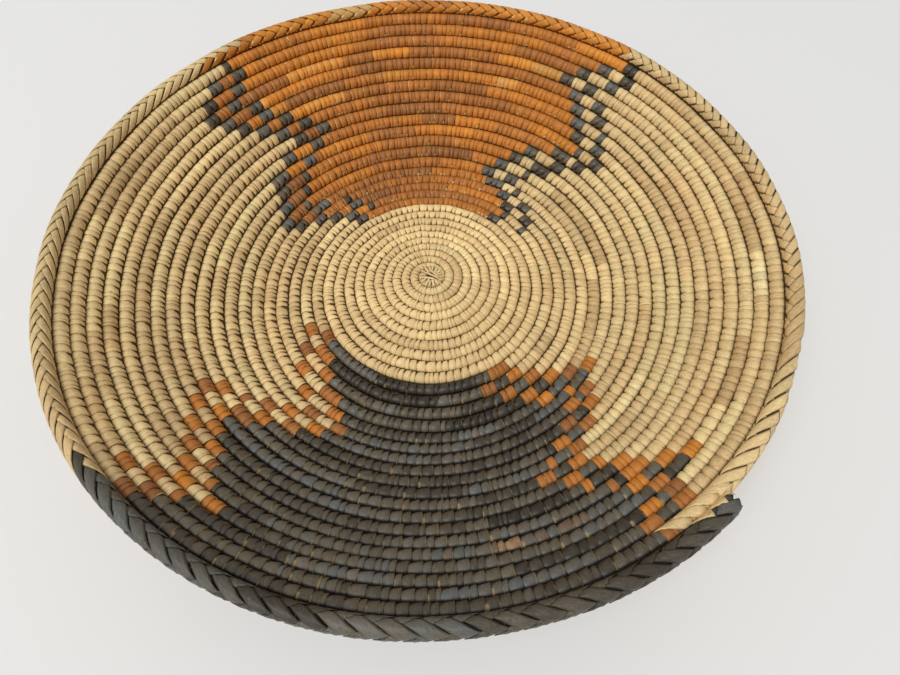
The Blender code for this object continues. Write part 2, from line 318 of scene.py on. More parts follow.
class Piece:
    """Closed tubes in one mesh, with splint coordinates and tints."""

    def __init__(self, name):
        self.name = name
        self.count = 0
        self.rows = {}

    def gather(self, **rows):
        """Keeps arrays by name, to be joined when the piece is finished."""
        for kind, values in rows.items():
            self.rows.setdefault(kind, []).append(values)

    def add_tube(self, points, across, along, tints, crisp):
        """Adds a tube with closed ends from a grid of points, columns along it and points round it.

        across and along hold a splint coordinate for each point and one more where the
        ring closes; tints hold one colour for each point; crisp marks the faces, by
        column and place round it, whose edges stay sharp.
        """
        columns, rings = points.shape[:2]
        index = np.arange(columns * rings).reshape(columns, rings) + self.count
        after = np.roll(index, -1, axis=1)
        quads = np.stack((index[:-1], index[1:], after[1:], after[:-1]), axis=-1)
        across = np.broadcast_to(across, (columns, rings + 1))
        along = np.broadcast_to(along, (columns, rings + 1))
        splint = np.stack((across[:-1, :-1], along[:-1, :-1], across[1:, :-1], along[1:, :-1],
                           across[1:, 1:], along[1:, 1:], across[:-1, 1:], along[:-1, 1:]), axis=-1)
        self.gather(points=points.reshape(-1, 3), tints=tints.reshape(-1, 4), corners=quads.reshape(-1),
                    sizes=np.full((columns - 1) * rings, 4), splint=splint.reshape(-1, 2),
                    crisp=np.broadcast_to(crisp, (columns - 1, rings)).reshape(-1))
        for ring, row in ((index[0], 0), (index[-1][::-1], -1)):
            self.gather(corners=ring, sizes=[rings], crisp=[True],
                        splint=np.stack((across[row, :-1], along[row, :-1]), axis=-1))
        self.count += columns * rings

    def finish(self, material, slot, *nodes):
        """Makes the mesh, and lets it ride on the bowl in place of the solids named."""
        rows = {kind: np.concatenate(values) for kind, values in self.rows.items()}
        starts = np.cumsum(rows["sizes"]) - rows["sizes"]
        mesh = bpy.data.meshes.new(self.name)
        mesh.vertices.add(self.count)
        mesh.vertices.foreach_set("co", rows["points"].astype(np.float32).ravel())
        mesh.loops.add(len(rows["corners"]))
        mesh.loops.foreach_set("vertex_index", rows["corners"].astype(np.int32))
        mesh.polygons.add(len(starts))
        mesh.polygons.foreach_set("loop_start", starts.astype(np.int32))
        splint = mesh.uv_layers.new(name="splint")
        splint.data.foreach_set("uv", rows["splint"].astype(np.float32).ravel())
        tint = mesh.color_attributes.new(name="tint", type="FLOAT_COLOR", domain="POINT")
        tint.data.foreach_set("color", rows["tints"].astype(np.float32).ravel())
        mesh.update(calc_edges=True)
        mesh.validate()
        mesh.polygons.foreach_set("use_smooth", ~rows["crisp"])
        mesh.materials.append(material)
        piece = add_object(self.name, mesh)
        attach(piece, "root")
        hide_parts(*nodes)


class Shade:
    """One output of a finish's nodes; arithmetic on it adds Math nodes."""

    def __init__(self, finish, socket):
        self.finish = finish
        self.socket = socket

    def math(self, operation, *others):
        """One Math node on this output and others."""
        return self.finish.node("Math", {"operation": operation}, dict(enumerate((self, *others))))

    def __add__(self, other):
        return self.math("ADD", other)

    __radd__ = __add__

    def __sub__(self, other):
        return self.math("SUBTRACT", other)

    def __mul__(self, other):
        return self.math("MULTIPLY", other)

    def step(self, low, high):
        """Smooth step from 0 at low to 1 at high; high may lie below low."""
        return self.finish.node("MapRange", {"interpolation_type": "SMOOTHSTEP"},
                                {"Value": self, "From Min": low, "From Max": high})


class Finish:
    """A material and its nodes; one method adds any node."""

    def __init__(self, name):
        self.material = bpy.data.materials.new(name)
        self.material.use_nodes = True
        self.tree = self.material.node_tree
        self.shader = self.tree.nodes["Principled BSDF"]

    def node(self, kind, settings=None, inputs=None, output=0):
        """Adds a node with its settings, a ramp's stops and its sockets' values; gives one output."""
        node = self.tree.nodes.new("ShaderNode" + kind)
        for key, value in (settings or {}).items():
            if key == "stops":
                while len(node.color_ramp.elements) < len(value):
                    node.color_ramp.elements.new(1)
                for element, (place, *shade) in zip(node.color_ramp.elements, value):
                    element.position = place
                    element.color = colour(*shade)
            else:
                setattr(node, key, value)
        for key, value in (inputs or {}).items():
            self.feed(node.inputs[key], value)
        return Shade(self, node.outputs[output])

    def feed(self, socket, value):
        """Links an output to a socket, or sets the socket's value."""
        if isinstance(value, Shade):
            self.tree.links.new(value.socket, socket)
        else:
            socket.default_value = value

    def set(self, **inputs):
        """Feeds the shader's own sockets, underscores in their names read as spaces."""
        for key, value in inputs.items():
            self.feed(self.shader.inputs[key.replace("_", " ")], value)

    def mix(self, factor, first, second, blend="MIX"):
        """Mixes two colours."""
        settings = {"data_type": "RGBA", "blend_type": blend}
        return self.node("Mix", settings, {0: factor, 6: first, 7: second}, output=2)

    def noise(self, vector, scale, detail, roughness):
        return self.node("TexNoise", None, {"Vector": vector, "Scale": scale, "Detail": detail,
                                            "Roughness": roughness})

    def vector(self, x, y):
        return self.node("CombineXYZ", None, {0: x, 1: y})


def colour(red, green, blue):
    """A colour written as on a screen, 0 to 255, as the light it gives back."""
    screen = np.array((red, green, blue)) / 255
    light = np.where(screen <= 0.04045, screen / 12.92, ((screen + 0.055) / 1.055) ** 2.4)
    return (*light.tolist(), 1.0)


# How many grain steps one turn of an angle in radians takes round the cord
GRAIN_STEPS = 3.2
# Split fibre: its grain, its mottling and specks in cells a metre, and how much each
# moves the shade on its ramp, lightens it or covers it
LONG_GRAIN = 0.30
FINE_GRAIN = 3.2
FINE_LONG_GRAIN = 0.6
MOTTLING_SCALE = 150.0
SPECK_SCALE = 1500.0
MOTTLING_MOVE = 0.20
STREAK_MOVE = 0.26
STREAK_LIGHT = 0.45
FINE_LIGHT = 0.6
SHIFT_LIGHT = 0.5
SPECK_LIGHT = 0.35
SPLIT_DARK = 0.3
# How fully the painted shade colour covers the colour in the deepest crevices
PAINTED_SHADE_COVER = 0.93
SLIVER_COVER = 0.75
SPOT_COVER = 0.8
SPOT_EASE = 0.4


def splint_finish(name, shades, painted_crevice_shade, sliver, spot, roughness, grain, fibre_depth):
    """Split plant fibre with the grain along it.

    The tint's first channel picks the dye's shade on a ramp, its second shifts it a
    little, and its third is painted shade: how far the colour is darkened towards the
    given shade colour, most in crevices, gaps, notches and the grooves between rows. Streaks
    run along the splint, and broad mottling and fine specks break the dye up. Some splints
    have a sliver of another shade along one edge: sliver holds that shade and their share.
    It also shows in spots beside some gaps: spot holds the share of stitches with one and
    the angles in degrees round the cord between which they lie.
    """
    finish = Finish(name)
    tint = finish.node("Attribute", {"attribute_name": "tint"})
    channels = finish.node("SeparateColor", None, {0: tint}).socket.node.outputs
    tone, shift, painted_shade = (Shade(finish, channel) for channel in list(channels)[:3])
    place = finish.node("UVMap", {"uv_map": "splint"})
    parts = finish.node("SeparateXYZ", None, {0: place}).socket.node.outputs
    across, along = (Shade(finish, part) for part in list(parts)[:2])
    where = finish.node("TexCoord", None, None, output=3)

    streaks = finish.noise(finish.vector(across * grain, along * LONG_GRAIN), 1.0, 3.0, 0.62)
    fine_place = finish.vector(across * grain * FINE_GRAIN, along * FINE_LONG_GRAIN)
    fine_streaks = finish.noise(fine_place, 1.0, 2.0, 0.5)
    mottling = finish.noise(where, MOTTLING_SCALE, 3.0, 0.6)
    specks = finish.noise(where, SPECK_SCALE, 2.0, 0.6)

    shade_place = tone + (mottling - 0.5) * MOTTLING_MOVE + (streaks - 0.5) * STREAK_MOVE
    dyed = finish.node("ValToRGB", {"stops": shades}, {0: shade_place})
    split = fine_streaks.step(0.36, 0.28)
    brightness = (1.0 + (streaks - 0.5) * STREAK_LIGHT + (fine_streaks - 0.5) * FINE_LIGHT
                  + (shift - 0.5) * SHIFT_LIGHT + (specks - 0.5) * SPECK_LIGHT - split * SPLIT_DARK)
    lit = finish.node("VectorMath", {"operation": "SCALE"}, {0: dyed, "Scale": brightness})

    stitch = across.math("FLOOR")
    share = across.math("FRACT")
    lot = finish.node("TexWhiteNoise", {"noise_dimensions": "1D"}, {"W": stitch})
    pale, sliver_share = sliver
    edge = share.step(0.87, 0.92) * share.step(1.0, 0.98)
    broken = finish.noise(finish.vector(stitch * 3.7, along * LONG_GRAIN), 1.0, 1.0, 0.5).step(0.42, 0.56)
    chosen = lot.step(1.0 - sliver_share, 1.0 - sliver_share * 0.5)

    # Painted shade: where the tint's third channel is high, the colour is darkened towards the painted
    # shade colour, and made rougher
    deep = painted_shade.step(0.18, 0.66)
    darkened = finish.mix(deep * PAINTED_SHADE_COVER, lit, painted_crevice_shade)
    slivered = finish.mix(chosen * edge * broken * SLIVER_COVER, darkened, pale)
    spot_share, *spot_angles = spot
    start, end = (math.radians(angle) * GRAIN_STEPS for angle in spot_angles)
    inside = along.step(start, start + SPOT_EASE) * along.step(end, end - SPOT_EASE)
    beside_gap = share.step(0.26, 0.10) + share.step(0.90, 0.97)
    bare = lot.step(spot_share, spot_share - 0.01) * inside * beside_gap
    relief = streaks * 0.65 + fine_streaks * 0.35 - split * 0.2
    bump = finish.node("Bump", None, {"Strength": 0.9, "Distance": fibre_depth, "Height": relief})
    finish.set(Base_Color=finish.mix(bare * SPOT_COVER, slivered, pale), Normal=bump,
               Roughness=roughness + (streaks - 0.5) * 0.25 + deep * 0.25, Specular_IOR_Level=0.4)
    return finish.material


# Ramps of shades: each one's place, and its red, green and blue
NATURAL_SHADES = ((0.0, 176, 140, 96), (0.2, 204, 170, 118), (0.42, 222, 191, 137),
                  (0.66, 233, 206, 149), (0.86, 237, 214, 156), (1.0, 243, 225, 172))
ORANGE_SHADES = ((0.0, 150, 98, 54), (0.22, 172, 110, 54), (0.45, 194, 122, 50),
                 (0.68, 212, 134, 48), (0.85, 224, 150, 58), (1.0, 208, 164, 98))
BLACK_SHADES = ((0.0, 50, 45, 37), (0.3, 79, 72, 60), (0.52, 103, 94, 78),
                (0.7, 98, 101, 98), (0.86, 122, 100, 78), (1.0, 176, 138, 102))
# Colours of the painted shade in crevices, gaps, notches and the grooves between rows
NATURAL_PAINTED_SHADE = colour(62, 36, 4)
ORANGE_PAINTED_SHADE = colour(92, 44, 2)
BLACK_PAINTED_SHADE = colour(6, 4, 2)

NATURAL = splint_finish("straw_splint", NATURAL_SHADES, NATURAL_PAINTED_SHADE, sliver=(colour(150, 112, 62), 0.15),
                        spot=(0.02, 120, 160), roughness=0.58, grain=4.6, fibre_depth=0.10 * MM)
ORANGE = splint_finish("rust_dyed_splint", ORANGE_SHADES, ORANGE_PAINTED_SHADE,
                       sliver=(colour(244, 218, 150), 0.16), spot=(0.20, 124, 166), roughness=0.55,
                       grain=4.6, fibre_depth=0.10 * MM)
BLACK = splint_finish("black_dyed_splint", BLACK_SHADES, BLACK_PAINTED_SHADE, sliver=(colour(158, 134, 86), 0.5),
                      spot=(0.08, 22, 70), roughness=0.42, grain=4.6, fibre_depth=0.12 * MM)
BRAID_BLACK = splint_finish("black_dyed_braid", BLACK_SHADES, BLACK_PAINTED_SHADE,
                            sliver=(colour(150, 124, 80), 0.30), spot=(0.0, 0, 10), roughness=0.33,
                            grain=9.0, fibre_depth=0.50 * MM)
FINISHES = by_dye((NATURAL, "natural_splint"), (ORANGE, "rust_splint"), (BLACK, "black_splint"))
BRAID_FINISHES = {**FINISHES, "black": (BRAID_BLACK, "black_splint")}

# How each dye's shade wanders: the mean place on its ramp, how far whole runs and
# single stitches stray from it, and the least and most stitches in a run
TONES = by_dye((0.53, 0.14, 0.035, 4, 20), (0.50, 0.19, 0.04, 5, 15), (0.42, 0.15, 0.07, 4, 16))
RUN_SHIFT = 0.12
STITCH_SHIFT = 0.1
TONE_LIMITS = (0.02, 0.97)
SHIFT_LIMITS = (0.1, 0.9)

# How far checks stray from their dye's mean shade, and rows of a field at the two turns
CHECK_LIFTS = by_dye(0.0, -0.15, 0.10)
FIELD_TURNS = (14, 23)
FIELD_LIFTS = by_dye((0, 0), (-0.20, 0), (0, 0))


def run_tones(dye, count):
    """A shade and a shift for each stitch: a draw for each run, and a smaller one for each stitch."""
    mean, run_spread, stitch_spread, least, most = TONES[dye]
    lengths = CHANCE.integers(least, most + 1, count)
    runs = np.repeat(np.arange(count), lengths)[:count]
    run_tone = CHANCE.normal(0, run_spread, count)[runs]
    run_shift = CHANCE.normal(0, RUN_SHIFT, count)[runs]
    tone = mean + run_tone + CHANCE.normal(0, stitch_spread, count)
    shift = 0.5 + run_shift + CHANCE.normal(0, STITCH_SHIFT, count)
    return np.clip(tone, *TONE_LIMITS), np.clip(shift, *SHIFT_LIMITS)


def tints(points, tone, shift, painted_shade):
    """Tints for a grid of points, from values for all or for each; the last channel is empty."""
    channels = (tone, shift, painted_shade, 0.0)
    return np.stack([np.broadcast_to(channel, points.shape[:2]) for channel in channels], axis=-1)


def stitch_width(turns):
    """Width of a stitch along the cord: it grows as the cord does."""
    return np.interp(turns, STITCH_TURNS, STITCH_WIDTHS)


def stitch_edges(first, last, count):
    """Turns of the gaps between stitches: uneven widths, a few narrow, that fill the run."""
    widths = np.clip(CHANCE.normal(1, WIDTH_SPREAD, count), *WIDTH_LIMITS)
    widths[CHANCE.random(count) < NARROW_CHANCE] *= NARROW_SHARE
    ends = np.concatenate(([0], np.cumsum(widths))) / widths.sum()
    return first + (last - first) * ends


def inner_side(angles):
    """1 on the side towards the last row, where stitches taper, easing to 0 where the rows touch."""
    from_touch = np.abs(angles - math.pi)
    return smooth((TAPER_END - from_touch) / TAPER_EASE) * smooth(from_touch / TOUCH_EASE)


def painted_groove_shade(towards, wide, darkness, reach_share, ease):
    """Painted shade in the grooves along the row, where the cosine towards one comes near 1."""
    return darkness * smooth((towards - 1 + reach_share * wide) / ease)


def sew(piece, dye, edges, sewn, tones=None, lift_tone=0.0):
    """One run of stitches wrapped round the cord, with how many were sewn before it.

    Over the two parameters, place along the cord and angle round it, a point is the
    cord's middle plus its half-width times cosine outward and its half-height times
    sine upward. Both grow by the stitch's crown and tilt, and shrink in the gap before
    it. Towards the last row the stitch tapers from its first edge, its tilt grows into
    a tooth, and the gap widens into a deep notch. Where the rim has stepped out, the
    stitch reaches back in to that row.
    """
    count = len(edges) - 1
    share = np.append(np.tile(STITCH_COLUMNS, count), 0.0)[:, None]
    stitch = np.append(np.repeat(np.arange(count), len(STITCH_COLUMNS)), count)

    def spread(values, closing=0):
        """Each stitch's value for all its columns, and one for the closing gap."""
        return np.append(values, closing)[stitch][:, None]

    angles = CORD_ANGLES[None, :]
    tapering = inner_side(angles) * NOTCH_SHARES[dye]
    gap = (share == 0).astype(float)
    last_column = STITCH_COLUMNS[-1]
    size = (row_pitch(edges.mean()) / ROW_PITCH) ** 2
    cut = spread(size * NOTCH_CUT * CHANCE.uniform(*NOTCH_CUT_SHARES, count))
    taper = cut * tapering * (last_column - share) / last_column * (1 - gap)
    width = spread(np.diff(edges))
    turns = edges[stitch][:, None] + width * (share + taper)
    length = loop_length(turns)
    lean = np.append(CHANCE.normal(0, LEAN_SPREAD, count + 1), 0)
    leaning = lean[stitch][:, None] * (1 - share) + lean[stitch + 1][:, None] * share
    towards = np.cos(angles)
    turns = turns + leaning * towards / length

    lift = spread(CHANCE.normal(0, LIFT_SPREAD, count))
    tilt = spread(CHANCE.normal(TILT, LIFT_SPREAD, count))
    narrow = np.clip(width * length / stitch_width(turns), LEAST_STAND, 1) * size
    crown = CROWN * (1 - (2 * share - 1) ** 2)
    raised = crown + lift + (tilt + TOOTH * narrow * tapering) * (share - TILT_MIDDLE)
    sunk = GAP_DEPTH * narrow * GAP_SHARES[dye] + NOTCH_DEPTH * tapering * narrow
    relief = raised * (1 - gap) - sunk * gap
    half = row_pitch(turns) / 2 + PRESS
    room = rim_shift(turns) * (towards < 0)
    points = round_cord(turns, angles, half + relief + room, half * CORD_HEIGHT_SHARE + relief)

    tone, shift = (spread(values, values[-1]) for values in tones or run_tones(dye, count))
    # Painted shade: the gap before each stitch, its notch, and the grooves where the rows touch are
    # darkened
    wide = GROOVE_SHADE_WIDTHS[dye]
    painted_crevice_shade = painted_groove_shade(-towards, wide, *INNER_GROOVE_SHADE) + painted_groove_shade(towards, wide, *OUTER_GROOVE_SHADE)
    painted_crevice_shade = painted_crevice_shade * (LEAST_GROOVE_SHADE + (1 - LEAST_GROOVE_SHADE) * size)
    gap_painted_shade = spread(CHANCE.uniform(*GAP_PAINTED_SHADES[dye], count), 1)
    painted_shade = np.clip(gap * np.maximum(gap_painted_shade, NOTCH_PAINTED_SHADE * tapering * narrow) + painted_crevice_shade, 0, 1)
    before_gap = np.append(share[1:, 0], 1) == 0
    crisp = ((share[:, 0] == 0) | before_gap)[:-1, None]
    steps = np.append(CORD_ANGLES, math.tau) * GRAIN_STEPS
    piece.add_tube(points, sewn + stitch[:, None] + share, steps,
                   tints(points, tone + lift_tone, shift, painted_shade), crisp)
    return sewn + count


def count_for(first, last, dye, more=0):
    """Whole stitches that fill the run."""
    middle = (first + last) / 2
    width = stitch_width(middle) * WIDTH_SHARES[dye]
    return max(1, round((last - first) * loop_length(middle) / width + more))


def checks(numbers, turn, forward, dye, gap_dye, side):
    """Runs of one edge's checks, which begin at a turn if forward and otherwise end there."""
    pattern = [int(number) for number in numbers]
    step = stitch_width(turn) / loop_length(turn)
    place = turn if forward else turn - sum(pattern) * step
    runs = []
    for count, used in zip(pattern, (dye, gap_dye, dye)):
        last = place + count * step
        name = None if used == "natural" else f"{used}_checks_{side}"
        runs.append((used, place, last, count_for(place, last, used, CHANCE.uniform(*CHECK_SPARE)), name))
        place = last
    return runs


def coil_runs():
    """The dyed runs along the coil in order: dye, first turn, last turn, stitches and piece."""
    runs = []
    charts = zip(FIELD_CHART, *(edge.split() for edge in CHECKS))
    for row, (fields, back_right, back_left, front_left, front_right) in enumerate(charts, start=1):
        orange_first, orange_last, black_first, black_last = (turn_at(row, azimuth) for azimuth in fields)
        runs += checks(back_right, orange_first, False, "black", "natural", "back")
        runs.append(("orange", orange_first, orange_last, None, f"orange_stitches_{row:02d}"))
        runs += checks(back_left, orange_last, True, "black", "orange", "back")
        runs += checks(front_left, black_first, False, "orange", "natural", "front")
        runs.append(("black", black_first, black_last, None, f"black_stitches_{row:02d}"))
        runs += checks(front_right, black_last, True, "orange", "black", "front")
    return runs


# The wall's lengths of coil, and the turn where the natural stitching of each ends
WALL_LENGTHS = {"lower": LOWER_END_TURNS, "middle": MIDDLE_END_TURNS, "upper": RIM_TURNS}
WALL_NODES = {f"natural_stitches_{part}": f"{part}_wall_coil" for part in WALL_LENGTHS}
LEAST_RUN_TURNS = 1e-5


def natural_piece(turn):
    """Name of the natural stitching's piece at a turn."""
    part = next((part for part, last in WALL_LENGTHS.items() if turn < last), "upper")
    return f"natural_stitches_{part}"


def with_natural(runs):
    """The runs with undyed ones in between, cut where one piece of natural stitching ends."""
    full = []
    place = CENTRE_END_TURNS
    cuts = (LOWER_END_TURNS, MIDDLE_END_TURNS)
    for dye, first, last, count, name in [*runs, (None, RIM_TURNS, RIM_TURNS, None, None)]:
        stops = [place, *(cut for cut in cuts if place < cut < first), first]
        for start, end in zip(stops[:-1], stops[1:]):
            if end - start > LEAST_RUN_TURNS:
                full.append(("natural", start, end, None, natural_piece((start + end) / 2)))
        if dye:
            full.append((dye, first, last, count, name or natural_piece((first + last) / 2)))
        place = last
    return full


# The centre is sewn in short runs, because its stitches soon grow wider, and with paler splints
CENTRE_TONE = 0.04
CENTRE_SHIFT = 0.20
CENTRE_CALM = 0.6
CENTRE_RUN_TURNS = 0.37
CENTRE_LAST_TURNS = 0.5
CENTRE_RUNS = (*np.arange(FIRST_STITCH_TURNS, CENTRE_END_TURNS - CENTRE_LAST_TURNS, CENTRE_RUN_TURNS),
               CENTRE_END_TURNS)


def lay_bundle():
    """The bundle that the stitches hold: a flat-sided tube that meets the rows beside it."""
    steps = np.arange(FIRST_STITCH_TURNS * BUNDLE_POINTS, RIM_TURNS * BUNDLE_POINTS)
    turns = steps[:, None] / BUNDLE_POINTS
    angles = np.linspace(0, math.tau, BUNDLE_SIDES, endpoint=False)
    half = row_pitch(turns) / 2
    room = rim_shift(turns) * (np.cos(angles) < 0)
    points = round_cord(turns, angles, half + BUNDLE_OVERLAP + room, half * BUNDLE_HEIGHT_SHARE)
    bundle = Piece("fibre_bundle")
    bundle.add_tube(points, np.linspace(0, GRAIN_ROUND, BUNDLE_SIDES + 1), turns * BUNDLE_GRAIN,
                    tints(points, *BUNDLE_TINT), False)
    bundle.finish(NATURAL, "natural_splint", "centre_coil", *WALL_NODES.values())


def sew_wall():
    sewn = 0
    pieces = {}
    centre = Piece("centre_stitches")
    for first, last in zip(CENTRE_RUNS[:-1], CENTRE_RUNS[1:]):
        count = count_for(first, last, "natural")
        tone, shift = run_tones("natural", count)
        mean = TONES["natural"][0]
        tone = mean + CENTRE_TONE + (tone - mean) * CENTRE_CALM
        edges = stitch_edges(first, last, count)
        sewn = sew(centre, "natural", edges, sewn, (tone, shift + CENTRE_SHIFT))
    centre.finish(NATURAL, "natural_splint", "centre_coil")
    dyes = {}
    for dye, first, last, count, name in with_natural(coil_runs()):
        piece = pieces.setdefault(name, Piece(name))
        dyes[name] = dye
        lift = CHECK_LIFTS[dye] if count else np.interp(last, FIELD_TURNS, FIELD_LIFTS[dye])
        edges = stitch_edges(first, last, count or count_for(first, last, dye))
        sewn = sew(piece, dye, edges, sewn, lift_tone=lift)
    for name, piece in pieces.items():
        if name in WALL_NODES:
            nodes = (WALL_NODES[name],)
        elif "checks" in name:
            nodes = WALL_NODES.values()
        else:
            nodes = (name.replace("_stitches_", "_stitching_row_"),)
        piece.finish(*FINISHES[dyes[name]], *nodes)
    print(f"stitches sewn: {sewn}")


# The rim braid: each stretch's dye and side, the azimuth where its bundle ends, and those
# where its bands of the first and of the second family end
BRAID_STRETCHES = (
    ("natural", "right", 406, 405, 407),
    ("orange", "back", 497, 491, 499),
    ("natural", "left", 586, 582, 588),
    ("black", "front", 670, 671, 671),
)

# How the braid changes along the rim: azimuth, spacing of its bands in mm, their slant
# to the rim and the place round it where the families change over, both in degrees, and
# how many bands the first family passes over
BRAID_PLAN = np.array((
    (310, 8.6, 33, 150, 3),
    (332, 8.6, 33, 150, 3),
    (346, 6.6, 42, 90, 8),
    (402, 6.4, 42, 90, 8),
    (412, 7.8, 36, 92, 8),
    (492, 7.8, 36, 92, 8),
    (502, 6.4, 31, 66, 8),
    (580, 6.4, 31, 66, 8),
    (590, 8.6, 33, 88, 2),
    (670, 8.6, 33, 88, 2),
)).T
BRAID_STEPS = 2000

# The covered bundle, which swells towards the last row, and more so near its end
RIM_CORE = 2.50 * MM
CORE_BULGE = 0.56
END_BULGE = 0.32
END_BULGE_AZIMUTH = 634
END_BULGE_EASE = 18
SWELL_POWER = 6
CORE_STEP = 3.0
CORE_SIDES = 16
# Its tint: tone, shift, and much painted shade, as it lies under the bands
CORE_TINT = (0.3, 0.4, 0.9)

# The bands: how high they lie over its middle, below and above each other, and their form
BAND_LEVEL = 2.68 * MM
BAND_RISE = 0.54 * MM
BAND_TOP = BAND_LEVEL + BAND_RISE
BAND_THICKNESS = 0.22 * MM
BAND_SWELL = 0.25 * MM
BAND_CROWN = 0.14 * MM
BAND_EDGE_DROP = 0.06 * MM
BAND_WIDTH_SHARE = 0.93
BAND_WIDTH_SPREAD = (0.88, 1.05)
BAND_SPLINT_SHARE = 0.46
# Painted shade along a band's edges; its underside takes full painted shade
BAND_EDGE_PAINTED_SHADE = 0.38
SHORT_STATIONS = 7

# Bands are laid in stations of a lead, where they show and a little under the others
STATION_LEAD = 0.7
LEAST_STATIONS = 4
HIDDEN_REACH = 0.8
CHANGE_OVER = 0.3
CHANGE_MARK = 0.165
LEAST_LEAD = 0.6
FAR_BANDS = 4
BRAID_INSIDE = math.radians(204)
BRAID_OUTSIDE = math.radians(-78)
END_MARGIN = 0.5

# The bands' shades, and where the numbers of bands and of the knot's splints begin
BRAID_CALM = 0.75
BRAID_LIFT = by_dye(-0.05, 0.24, 0.02)
BRAID_SHIFT = -0.15
FIRST_BAND_NUMBER = 50000
FIRST_KNOT_NUMBER = 60000

# Short bands from one angle round the rim to another: wraps outside, and the natural
# tails over the coil's start and over its end
WRAP_ANGLES = (-58.0, -166.0)
WRAP_ADVANCE = 2.5 * MM
WRAP_WIDTH_SHARE = 0.94
TAIL_AZIMUTHS = (300.2, 302.6, 305.0, 307.2)
TAIL_ANGLES = (205.0, 18.0)
TAIL_ADVANCE = 12.5 * MM
TAIL_WIDTH = 4.3 * MM
TAIL_LEVEL = 3.15 * MM
OVERLAP_ANGLES = (190.0, 104.0)
OVERLAP_ADVANCE = 6.5 * MM
OVERLAP_LEVEL = 3.25 * MM
OVERLAP_RISE = 0.9 * MM
RISE_START = 120
RISE_EASE = 60

# Across a band: its flat top with lowered edges, and one line underneath
BAND_ACROSS = np.array((-1.0, -0.6, 0.0, 0.6, 1.0, 0.0))
BAND_UNDER = np.array((0.0, 0.0, 0.0, 0.0, 0.0, 1.0))
BAND_EDGES = np.abs(BAND_ACROSS) == 1
BAND_CRISP = np.array((False, False, False, False, True, True))


def rim_turn(azimuth):
    """Turn at which the rim passes an azimuth, counted on from its start."""
    return RIM_TURNS + (azimuth - RIM_AZIMUTH) / 360


def add_ribbon(piece, points, number, length, look, edge_painted_shade):
    """Adds a closed band from its sections, turned so that its faces point outwards.

    Its underside takes full painted shade, and its edges as much painted shade as given for them.
    """
    shades = tints(points, *look, np.where(BAND_UNDER > 0, 1.0, edge_painted_shade * BAND_EDGES))
    middle = points[0].mean(axis=0)
    spokes = points[0] - middle
    turning = np.cross(spokes, np.roll(spokes, -1, axis=0)).sum(axis=0) @ (points[1].mean(axis=0) - middle)
    across = number + 0.5 + BAND_SPLINT_SHARE * np.append(BAND_ACROSS, -1.0)
    crisp = BAND_CRISP
    if turning > 0:
        points = points[:, ::-1]
        shades = shades[:, ::-1]
        across = np.append(across[:-1][::-1], across[-2])
        crisp = np.roll(BAND_CRISP[::-1], -1)
    piece.add_tube(points, across, length[:, None], shades, crisp)


